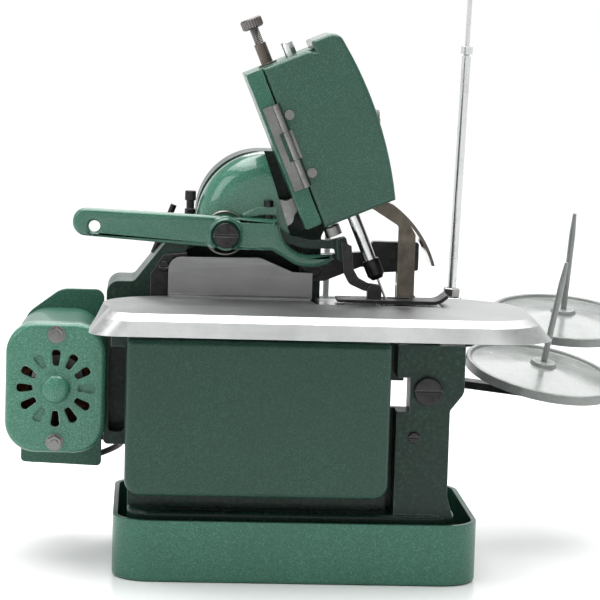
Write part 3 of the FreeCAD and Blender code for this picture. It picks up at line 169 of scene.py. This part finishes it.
def bump(tree, shader, height, strength, distance, softened=0.0003):
    """Fine relief over edges that are rounded off by the softened radius."""
    soft = node(tree, "Bevel", {"Radius": softened}, samples=BEVEL_SAMPLES).outputs["Normal"]
    made = node(tree, "Bump", {"Height": height, "Strength": strength, "Distance": distance, "Normal": soft})
    tree.links.new(made.outputs["Normal"], shader.inputs["Normal"])


def edges(tree, radius):
    """1 along a sharp or rounded edge and 0 on a flat face, from how far the softened normal turns."""
    soft = node(tree, "Bevel", {"Radius": radius}, samples=BEVEL_SAMPLES).outputs["Normal"]
    true = node(tree, "NewGeometry").outputs["Normal"]
    agree = node(tree, "VectorMath", {0: soft, 1: true}, operation="DOT_PRODUCT").outputs["Value"]
    return ramp(tree, agree, [(0.72, 1.0), (0.985, 0.0)])


def hammertone(name, shade=1.0, rounded=0.0012, fleck=0.45, gloss=0.22, rough=(0.30, 0.44),
               edge_wear_and_highlight=(0.26, 0.36, 0.32)):
    """Sea-green hammered enamel: fine mottled cells under a glossy coat, and another colour on patches of
    the edges.

    The shade factor gives lighter and darker copies of the one enamel, part by part: painted light and
    shade.
    The edge colour is pale on most parts, partly paint thinned by wear and partly a painted highlight; on
    the tray it is dark, where the paint has chipped to the iron."""
    material, tree, shader = new_material(name, metallic=0.05, coat_weight=gloss, coat_roughness=0.07,
                                          specular_ior_level=0.22)
    place = node(tree, "TexCoord").outputs["Object"]
    cells = node(tree, "TexVoronoi", {"Vector": place, "Scale": 1400.0, "Smoothness": 0.8},
                 feature="SMOOTH_F1").outputs["Distance"]
    grain = noise(tree, place, 1700.0, 3.0, 0.6)
    patches = noise(tree, place, 22.0, 3.0, 0.55)
    # The shade factor scales the whole enamel lighter or darker: painted light and shade for each part.
    dark = shaded((0.010, 0.042, 0.027), shade)
    middle = shaded((0.018, 0.066, 0.044), shade)
    light = shaded((0.034, 0.100, 0.071), shade)
    mottle = ramp(tree, cells, [(0.12, dark), (0.42, middle), (0.8, light)])
    speckled = mixed(tree, ramp(tree, grain, [(0.58, 0.0), (0.72, fleck)]), mottle, light)
    aged = mixed(tree, ramp(tree, patches, [(0.35, 0.25), (0.65, 0.0)]), speckled, dark)
    chips = ramp(tree, noise(tree, place, 130.0, 3.0), [(0.42, 0.0), (0.62, 0.7)])
    # Edge patches: wear on the tray, and wear with a painted highlight where the edge colour is pale.
    wear_and_highlight_mask = node(tree, "Math", {0: edges(tree, 0.0009), 1: chips}, operation="MULTIPLY").outputs[0]
    colour = mixed(tree, wear_and_highlight_mask, aged, shaded(edge_wear_and_highlight, shade))
    tree.links.new(colour, shader.inputs["Base Color"])
    tree.links.new(ramp(tree, patches, [(0.3, rough[0]), (0.7, rough[1])]), shader.inputs["Roughness"])
    bump(tree, shader, cells, 0.3, 0.00018, rounded)
    return material


def shaded_rough_casting(name):
    """The same enamel laid thick over a sand casting, darker in its hollows and grimed with oil.

    Its colours are much darker than the enamel's, as painted shade on the castings, and every edge is pale:
    wear and a painted highlight.
    """
    material, tree, shader = new_material(name, metallic=0.05, coat_weight=0.12, coat_roughness=0.12,
                                          specular_ior_level=0.22)
    place = node(tree, "TexCoord").outputs["Object"]
    sand = noise(tree, place, 420.0, 5.0, 0.65)
    lumps = noise(tree, place, 60.0, 3.0, 0.5)
    oil = noise(tree, place, 18.0, 4.0, 0.6)
    # Painted shade: the castings' colours are kept far darker than the enamel's.
    body = ramp(tree, sand, [(0.3, (0.004, 0.014, 0.010)), (0.52, (0.008, 0.029, 0.019)),
                             (0.78, (0.030, 0.078, 0.056))])
    grimed = mixed(tree, ramp(tree, oil, [(0.42, 0.0), (0.68, 0.7)]), body, (0.010, 0.020, 0.016))
    # Pale along every edge: wear and a painted highlight.
    edge_wear_and_highlight = mixed(tree, edges(tree, 0.0008), grimed, (0.22, 0.31, 0.27))
    tree.links.new(edge_wear_and_highlight, shader.inputs["Base Color"])
    tree.links.new(ramp(tree, oil, [(0.3, 0.42), (0.7, 0.22)]), shader.inputs["Roughness"])
    height = node(tree, "Math", {0: sand, 1: lumps}, operation="ADD").outputs[0]
    bump(tree, shader, height, 0.5, 0.0006, 0.0012)
    return material


def brushed(name, colour, along, rough, painted_top_shade=0.0):
    """Satin metal: fine lines drawn along one way, faint stains, scratches and lighter edges, from wear and
    a painted highlight.

    A factor darkens the faces that look up: painted shade for the dull reflection on an upturned face."""
    material, tree, shader = new_material(name, metallic=1.0)
    place = node(tree, "TexCoord").outputs["Object"]
    lines = stretched(tree, place, along, 30.0, 4.0)
    clouds = noise(tree, place, 26.0, 4.0, 0.6)
    dull = shaded(colour, 0.66)
    base = mixed(tree, ramp(tree, clouds, [(0.36, 0.0), (0.7, 0.75)]), colour, dull)
    streaked = mixed(tree, ramp(tree, lines, [(0.35, 0.0), (0.7, 0.3)]), base, shaded(colour, 1.15))
    marks = stretched(tree, place, (90.0, 7.0, 40.0), 8.0, 2.0)
    streaked = mixed(tree, ramp(tree, marks, [(0.66, 0.0), (0.7, 0.35)]), streaked, dull)
    # Faces that look up are darkened: painted shade.
    if painted_top_shade:
        normal = node(tree, "TexCoord").outputs["Normal"]
        upward = node(tree, "SeparateXYZ", {"Vector": normal}).outputs["Z"]
        facing_up = ramp(tree, upward, [(0.9, 0.0), (0.97, painted_top_shade)])
        streaked = mixed(tree, facing_up, streaked, shaded(colour, 0.35))
    # Lighter along the edges: wear and a painted highlight.
    wear_and_highlight_colour = mixed(tree, edges(tree, 0.0006), streaked, shaded(colour, 1.3))
    tree.links.new(wear_and_highlight_colour, shader.inputs["Base Color"])
    mixed_rough = mixed(tree, ramp(tree, lines, [(0.3, 0.0), (0.7, 1.0)]), (rough[0],) * 3, (rough[1],) * 3)
    tree.links.new(mixed_rough, shader.inputs["Roughness"])
    bump(tree, shader, lines, 0.35, 0.00005)
    return material


def turned_steel(name, colour, roughness, stain=0.4):
    """Plated or plain steel with a fine grain, faint oil stains, and lighter edges from wear and a painted
    highlight.
    """
    material, tree, shader = new_material(name, metallic=1.0)
    place = node(tree, "TexCoord").outputs["Object"]
    grain = noise(tree, place, 1500.0, 3.0)
    clouds = noise(tree, place, 75.0, 4.0, 0.65)
    base = mixed(tree, ramp(tree, clouds, [(0.45, 0.0), (0.72, stain)]), colour, shaded(colour, 0.35))
    # Lighter along the edges: wear and a painted highlight.
    wear_and_highlight_colour = mixed(tree, edges(tree, 0.0004), base, shaded(colour, 1.25))
    tree.links.new(wear_and_highlight_colour, shader.inputs["Base Color"])
    stained = ramp(tree, clouds, [(0.3, roughness), (0.75, roughness + 0.22)])
    tree.links.new(stained, shader.inputs["Roughness"])
    bump(tree, shader, grain, 0.15, 0.00004)
    return material


def blackened(name):
    """Black oxide on steel, with a thin oil film and lighter metal on the corners.

    The corners are lighter from wear and a painted highlight.
    """
    material, tree, shader = new_material(name, metallic=0.75, specular_ior_level=0.6)
    place = node(tree, "TexCoord").outputs["Object"]
    clouds = noise(tree, place, 160.0, 4.0, 0.6)
    base = ramp(tree, clouds, [(0.3, (0.010, 0.010, 0.011)), (0.7, (0.042, 0.041, 0.043))])
    # Lighter metal on the corners: wear and a painted highlight.
    tree.links.new(mixed(tree, edges(tree, 0.0005), base, (0.30, 0.29, 0.28)), shader.inputs["Base Color"])
    tree.links.new(ramp(tree, clouds, [(0.3, 0.24), (0.7, 0.46)]), shader.inputs["Roughness"])
    bump(tree, shader, clouds, 0.2, 0.00008)
    return material


def moulded(name, low, high, rough, scale=700.0):
    """Moulded plastic or rubber: two close shades, a fine grain, and scuffs."""
    material, tree, shader = new_material(name)
    place = node(tree, "TexCoord").outputs["Object"]
    grain = noise(tree, place, scale, 3.0)
    scuffs = noise(tree, place, 45.0, 5.0, 0.7)
    base = ramp(tree, scuffs, [(0.35, low), (0.7, high)])
    pale = mixed(tree, ramp(tree, grain, [(0.45, 0.0), (0.7, 0.35)]), base, high)
    tree.links.new(pale, shader.inputs["Base Color"])
    tree.links.new(ramp(tree, scuffs, [(0.3, rough[0]), (0.7, rough[1])]), shader.inputs["Roughness"])
    bump(tree, shader, grain, 0.25, 0.00008)
    return material


def smoked(name):
    """The bent brown acrylic eye guard, hazed by lint and fine scratches."""
    material, tree, shader = new_material(name, transmission_weight=0.4, ior=1.3)
    place = node(tree, "TexCoord").outputs["Object"]
    haze = noise(tree, place, 90.0, 5.0, 0.65)
    marks = stretched(tree, place, (12.0, 60.0, 3.0), 14.0, 3.0)
    colour = ramp(tree, haze, [(0.3, (0.085, 0.068, 0.050)), (0.75, (0.20, 0.175, 0.14))])
    tree.links.new(colour, shader.inputs["Base Color"])
    tree.links.new(ramp(tree, marks, [(0.4, 0.04), (0.7, 0.12)]), shader.inputs["Roughness"])
    return material


def winding(name):
    """Enamelled copper wire laid side by side, seen through the motor's vents."""
    material, tree, shader = new_material(name, metallic=0.8)
    place = node(tree, "TexCoord").outputs["Object"]
    turns = node(tree, "TexWave", {"Vector": place, "Scale": 320.0, "Distortion": 1.5, "Detail": 2.0},
                 bands_direction="Y").outputs["Fac"]
    tree.links.new(ramp(tree, turns, [(0.2, (0.06, 0.022, 0.010)), (0.8, (0.30, 0.125, 0.05))]),
                   shader.inputs["Base Color"])
    tree.links.new(ramp(tree, turns, [(0.2, 0.5), (0.8, 0.3)]), shader.inputs["Roughness"])
    bump(tree, shader, turns, 0.5, 0.0004)
    return material


# These copies of the one enamel are lighter or darker part by part: painted light and shade.
ENAMEL = hammertone("hammertone_enamel", 1.6)
ENAMEL_FRONT = hammertone("hammertone_front", 0.8, rounded=0.002)
ENAMEL_TRAY = hammertone("hammertone_tray", 1.9, edge_wear_and_highlight=(0.010, 0.016, 0.013))
ENAMEL_COVER = hammertone("hammertone_cover", 1.05, rounded=0.0035, fleck=0.4, gloss=0.5)
ENAMEL_LEVER = hammertone("hammertone_lever", 1.9, rounded=0.0005, fleck=0.5, gloss=0.7, rough=(0.20, 0.34))
ENAMEL_MOTOR = hammertone("hammertone_motor", 2.5, rounded=0.0025, fleck=0.1, gloss=0.5, rough=(0.26, 0.36))
ENAMEL_DOME = hammertone("hammertone_dome", 2.6, fleck=0.2, gloss=0.9, rough=(0.18, 0.28))
SHADED_CASTING = shaded_rough_casting("enamelled_casting_painted_shade")
PLATE = brushed("ground_aluminium", (0.56, 0.57, 0.57), (1.0, 26.0, 26.0), (0.38, 0.54), painted_top_shade=0.75)
GUARD = brushed("rolled_aluminium", (0.31, 0.315, 0.31), (1.0, 20.0, 34.0), (0.34, 0.52))
STEEL = turned_steel("turned_steel", (0.30, 0.30, 0.29), 0.24)
PLATED = turned_steel("plated_steel", (0.68, 0.69, 0.69), 0.14, 0.25)
DARK_STEEL = turned_steel("heat_darkened_steel", (0.16, 0.15, 0.145), 0.3, 0.5)
HINGE = turned_steel("hinge_steel", (0.19, 0.19, 0.185), 0.2, 0.5)
BLACK = blackened("black_oxide_steel")
BRONZE = turned_steel("oiled_bronze", (0.135, 0.118, 0.10), 0.3)
SPRING = turned_steel("oiled_spring_wire", (0.30, 0.285, 0.26), 0.28)
GREY_PLASTIC = moulded("grey_moulding", (0.17, 0.185, 0.175), (0.24, 0.255, 0.245), (0.14, 0.28))
BLACK_PLASTIC = moulded("black_moulding", (0.010, 0.010, 0.011), (0.035, 0.034, 0.034), (0.25, 0.45))
RUBBER = moulded("black_rubber", (0.009, 0.009, 0.010), (0.028, 0.028, 0.029), (0.5, 0.75), 900.0)
SMOKED = smoked("smoked_acrylic")
COPPER = winding("enamelled_copper")

FINISHES = {
    "drip_tray": ENAMEL_TRAY, "base_cushions": RUBBER, "base_casting": SHADED_CASTING, "body_casting": SHADED_CASTING,
    "arm_casting": SHADED_CASTING, "dome_housing": ENAMEL_DOME, "head_casing": ENAMEL, "head_cover": ENAMEL_COVER,
    "front_cover": ENAMEL_FRONT, "lifter_lever": ENAMEL_LEVER, "presser_arm": SHADED_CASTING,
    "motor_end_bell": ENAMEL_MOTOR, "motor_housing": ENAMEL, "motor_bracket": ENAMEL,
    "cloth_plate": PLATE, "guard_plate": GUARD,
    # The rear guard takes black oxide as painted shade for the dark recess behind the guard plate.
    "rear_guard": BLACK, "hinge_fixed_leaf": HINGE, "hinge_cover_leaf": HINGE, "needle_plate": PLATED,
    "lower_knife": BLACK, "upper_knife": BLACK, "eye_guard": SMOKED, "bronze_bushes": BRONZE,
    "fasteners": BLACK, "motor_stator": COPPER, "motor_fasteners": HINGE, "drive_belt": RUBBER,
    "strain_relief": RUBBER, "terminal_socket": BLACK_PLASTIC, "stand_bracket": BLACK,
    "spool_discs": GREY_PLASTIC, "spool_pins": GREY_PLASTIC, "mast_lower": PLATED, "mast_upper": PLATED,
    "thread_guide": PLATED, "tension_bracket": STEEL, "tension_discs": PLATED, "main_shaft": STEEL,
    "handwheel": BLACK_PLASTIC, "motor_shaft": STEEL, "motor_pulley": BLACK, "motor_fan": BLACK_PLASTIC,
    "needle_rocker": STEEL, "needle_bar": PLATED, "needle_clamp": BLACK, "needle": PLATED,
    "lower_looper": PLATED, "upper_looper": PLATED, "feed_dog": STEEL, "foot_shank": BLACK,
    "presser_bar": STEEL, "foot_sole": BLACK, "adjusting_screw": STEEL,
    "tension_knob_1": BLACK_PLASTIC, "tension_knob_2": BLACK_PLASTIC, "tension_knob_3": BLACK_PLASTIC,
    "lever_spring": SPRING, "presser_spring": STEEL, "motor_lead": RUBBER,
}


def finish_nodes():
    """Gives every CAD node its material."""
    for name, part in frame["nodes"].items():
        part.data.materials.clear()
        part.data.materials.append(FINISHES[name])


# Pieces


def link(name, data, finish, stands_for=(), body=None):
    """A new object with its finish, riding the body of the CAD node that it stands for."""
    piece = bpy.data.objects.new(name, data)
    bpy.context.scene.collection.objects.link(piece)
    data.materials.append(finish)
    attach(piece, body or BODY_OF[stands_for[0]])
    if stands_for:
        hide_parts(*stands_for)
    return piece


def wire(name, points, radius, order=4):
    """A curve through control points, given its thickness."""
    data = bpy.data.curves.new(name, "CURVE")
    data.dimensions = "3D"
    data.bevel_depth = radius
    data.bevel_resolution = 5
    data.use_fill_caps = True
    spline = data.splines.new("NURBS")
    spline.points.add(len(points) - 1)
    for control, point in zip(spline.points, points):
        control.co = (*point, 1)
    spline.order_u = order
    spline.use_endpoint_u = True
    spline.resolution_u = 8
    return data


def make_motor_lead():
    """The limp black lead that loops from the motor's rubber boot down to the terminal socket."""
    route = [(-0.129, 0.044, 0.0698), (-0.1174, 0.044, 0.0698), (-0.1092, 0.0522, 0.067),
             (-0.1092, 0.0638, 0.062), (-0.1174, 0.072, 0.056), (-0.129, 0.072, 0.052),
             (-0.140, 0.072, 0.052)]
    data = wire("motor_lead_flex", route, 0.002, 3)
    data.splines[0].resolution_u = 16
    flex = link("motor_lead_flex", data, RUBBER, ["motor_lead"])


def helix(centre, axis, start, radius, pitch, turns, steps=20):
    """Points of a coil round an axis through a centre."""
    side = axis.orthogonal().normalized()
    other = axis.cross(side)
    points = []
    for k in range(int(turns * steps) + 1):
        angle = 2 * math.pi * k / steps
        along = start + pitch * k / steps
        points.append(centre + axis * along + (side * math.cos(angle) + other * math.sin(angle)) * radius)
    return points


def make_springs():
    """The coil round the lifter lever's pivot and the presser bar's coil in the open side of the head."""
    pivot = Vector((-0.0465, 0, 0.209))
    coil = helix(pivot, Vector((0, 1, 0)), -0.0094, 0.0135, 0.00155, 2.2)
    lever = link("lever_coil", wire("lever_coil", coil, 0.00075), SPRING, ["lever_spring"])
    coil = helix(head_point(SCREW_ACROSS, SCREW_DEPTH, 0), HEAD_UP, 0.0455, 0.0042, 0.0044, 8)
    presser = link("presser_coil", wire("presser_coil", coil, 0.0007), STEEL, ["presser_spring"])


def in_plane(edge, depth):
    """Whether an edge lies in a plane across Y."""
    return all(abs(vertex.co.y - depth) < SAME_PLANE for vertex in edge.verts)


def make_lever():
    """The cast lever: its CAD shape, with the sharp edges of its front face rounded.

    Known fault: the rounding also takes in the concave corner round the pivot's boss, where it stands 0.6 mm
    proud of the boss, and it is too large for the short edges, so the mesh crosses itself."""
    mesh = bmesh.new()
    mesh.from_mesh(frame["nodes"]["lifter_lever"].data)
    bmesh.ops.remove_doubles(mesh, verts=mesh.verts, dist=SAME_POINT)
    bmesh.ops.dissolve_limit(mesh, angle_limit=FLAT_FACETS, verts=mesh.verts, edges=mesh.edges)
    shared = [edge for edge in mesh.edges if len(edge.link_faces) == 2]
    sharp = [edge for edge in shared if edge.calc_face_angle(0) > SHARP_EDGE]
    chosen = [edge for edge in sharp if in_plane(edge, LEVER_FACE)]
    bmesh.ops.bevel(mesh, geom=chosen, offset=LEVER_ROUNDING, segments=LEVER_SEGMENTS, profile=0.5,
                    affect="EDGES", clamp_overlap=False)
    bmesh.ops.triangulate(mesh, faces=mesh.faces)
    bmesh.ops.recalc_face_normals(mesh, faces=mesh.faces)
    data = bpy.data.meshes.new("cast_lever")
    mesh.to_mesh(data)
    mesh.free()
    data.shade_smooth()
    data.set_sharp_from_angle(angle=CRISP_EDGE)
    lever = link("cast_lever", data, ENAMEL_LEVER, ["lifter_lever"])


def lathe(name, profile, segments, ring=False):
    """A turned mesh round Z, from (radius, height, knurl depth) rows. Knurling sinks every other vertex.

    A ring closes on itself round a hole, and anything else is capped at both ends."""
    mesh = bmesh.new()
    rows = []
    for radius, height, knurl in profile:
        row = []
        for k in range(segments):
            angle = 2 * math.pi * k / segments
            reach = radius - (knurl if k % 2 else 0.0)
            row.append(mesh.verts.new((reach * math.cos(angle), reach * math.sin(angle), height)))
        rows.append(row)
    for low, high in zip(rows, rows[1:] + rows[:1] if ring else rows[1:]):
        for k in range(segments):
            mesh.faces.new((low[k], low[k - 1], high[k - 1], high[k]))
    if not ring:
        mesh.faces.new(rows[0])
        mesh.faces.new(reversed(rows[-1]))
    bmesh.ops.recalc_face_normals(mesh, faces=mesh.faces)
    data = bpy.data.meshes.new(name)
    mesh.to_mesh(data)
    mesh.free()
    return data


def stand_on(data, base, axis):
    """Turns a mesh made round Z to stand on a base point along an axis, in its own vertices."""
    place = Vector(axis).to_track_quat("Z", "Y").to_matrix().to_4x4()
    place.translation = base
    data.transform(place)


def make_adjusting_screw():
    """The presser's pressure screw: a fine thread and a knurled, dished thumb knob."""
    thread = [(0.0029 - (0.00028 if k % 2 else 0.0), 0.082 + 0.0005 * k, 0.0) for k in range(111)]
    knob = [(0.0029, 0.1370, 0.0), (0.0058, 0.1370, 0.0), (0.0066, 0.1378, 0.0), (0.0068, 0.1382, 0.0004),
            (0.0068, 0.1424, 0.0004), (0.0066, 0.1429, 0.0), (0.0059, 0.1435, 0.0), (0.0048, 0.1434, 0.0),
            (0.0040, 0.1429, 0.0), (0.0002, 0.1428, 0.0)]
    data = lathe("pressure_screw", thread + knob, TURNED_SIDES)
    stand_on(data, head_point(SCREW_ACROSS, SCREW_DEPTH, 0), HEAD_UP)
    screw = link("pressure_screw", data, DARK_STEEL, ["adjusting_screw"])


def make_trim():
    """The pressed dome in the middle of the motor's end bell and the lock nut at the mast's foot."""
    dome = [(0.0090, 0.0, 0.0), (0.0088, 0.0008, 0.0), (0.0081, 0.0019, 0.0), (0.0069, 0.0029, 0.0),
            (0.0051, 0.0036, 0.0), (0.0029, 0.0040, 0.0), (0.0004, 0.0041, 0.0)]
    data = lathe("bell_dome", dome, TURNED_SIDES)
    data.shade_smooth()
    stand_on(data, (-0.1495, -0.0420, 0.113), (0, -1, 0))
    cap = link("bell_dome", data, ENAMEL_MOTOR, (), "frame")
    nut = [(0.0036, 0.0, 0.0), (0.0052, 0.0, 0.0), (0.0060, 0.0007, 0.0), (0.0060, 0.0055, 0.0),
           (0.0052, 0.0062, 0.0), (0.0036, 0.0062, 0.0)]
    data = lathe("mast_nut", nut, 6, ring=True)
    stand_on(data, (0.1112, 0.110, 0.1594), (0.028, 0, 1))
    lock = link("mast_nut", data, STEEL, (), "frame")


# Studio


def make_floor():
    """A wide pale floor with a faint sheen."""
    mesh = bmesh.new()
    bmesh.ops.create_grid(mesh, x_segments=24, y_segments=24, size=14.0)
    data = bpy.data.meshes.new("studio_floor")
    mesh.to_mesh(data)
    mesh.free()
    material, tree, shader = new_material("studio_floor", specular_ior_level=0.4)
    place = node(tree, "TexCoord").outputs["Object"]
    tone = noise(tree, place, 3.0, 2.0)
    tree.links.new(ramp(tree, tone, [(0.3, (0.87, 0.885, 0.88)), (0.7, (0.90, 0.91, 0.905))]),
                   shader.inputs["Base Color"])
    tree.links.new(ramp(tree, tone, [(0.3, 0.14), (0.7, 0.2)]), shader.inputs["Roughness"])
    data.materials.append(material)
    floor = bpy.data.objects.new("studio_floor", data)
    bpy.context.scene.collection.objects.link(floor)


def softbox(name, place, target, width, height, power):
    """A rectangular area light that looks at a target, with its power in watts."""
    data = bpy.data.lights.new(name, "AREA")
    data.shape = "RECTANGLE"
    data.size = width
    data.size_y = height
    data.energy = power
    lamp = bpy.data.objects.new(name, data)
    bpy.context.scene.collection.objects.link(lamp)
    lamp.location = place
    lamp.rotation_euler = (Vector(target) - Vector(place)).to_track_quat("-Z", "Y").to_euler()


def make_world():
    """A studio that is white near the horizon and dimmer above, so that the floor runs out into white."""
    world = bpy.data.worlds.new("studio")
    world.use_nodes = True
    tree = world.node_tree
    tree.nodes.clear()
    way = node(tree, "TexCoord").outputs["Generated"]
    height = node(tree, "SeparateXYZ", {"Vector": way}).outputs["Z"]
    sky = ramp(tree, height, [(0.2, 1.0), (0.4, 0.33)])
    light = node(tree, "Background", {"Color": sky, "Strength": 1.0})
    tree.links.new(light.outputs[0], node(tree, "OutputWorld").inputs[0])
    bpy.context.scene.world = world


def make_studio():
    """The floor, the white surroundings, three softboxes and a wide, even light from the ceiling."""
    make_floor()
    make_world()
    softbox("overhead", (-0.15, 0.0, 1.6), (0, 0.05, 0.1), 1.7, 1.5, 26)
    softbox("key", (-1.3, -0.7, 1.1), (0, 0, 0.15), 0.9, 0.9, 7)
    softbox("back", (0.4, 1.5, 1.3), (0, 0, 0.2), 1.6, 0.7, 12)
    data = bpy.data.lights.new("ceiling", "SUN")
    data.energy = 2.7
    data.angle = math.radians(70)
    ceiling = bpy.data.objects.new("ceiling", data)
    bpy.context.scene.collection.objects.link(ceiling)
    ceiling.rotation_euler = (math.radians(-8), math.radians(6), 0)
    bpy.context.scene.view_settings.view_transform = "Standard"


make_camera()
make_motor_lead()
finish_nodes()
make_springs()
make_lever()
make_adjusting_screw()
make_trim()
make_studio()
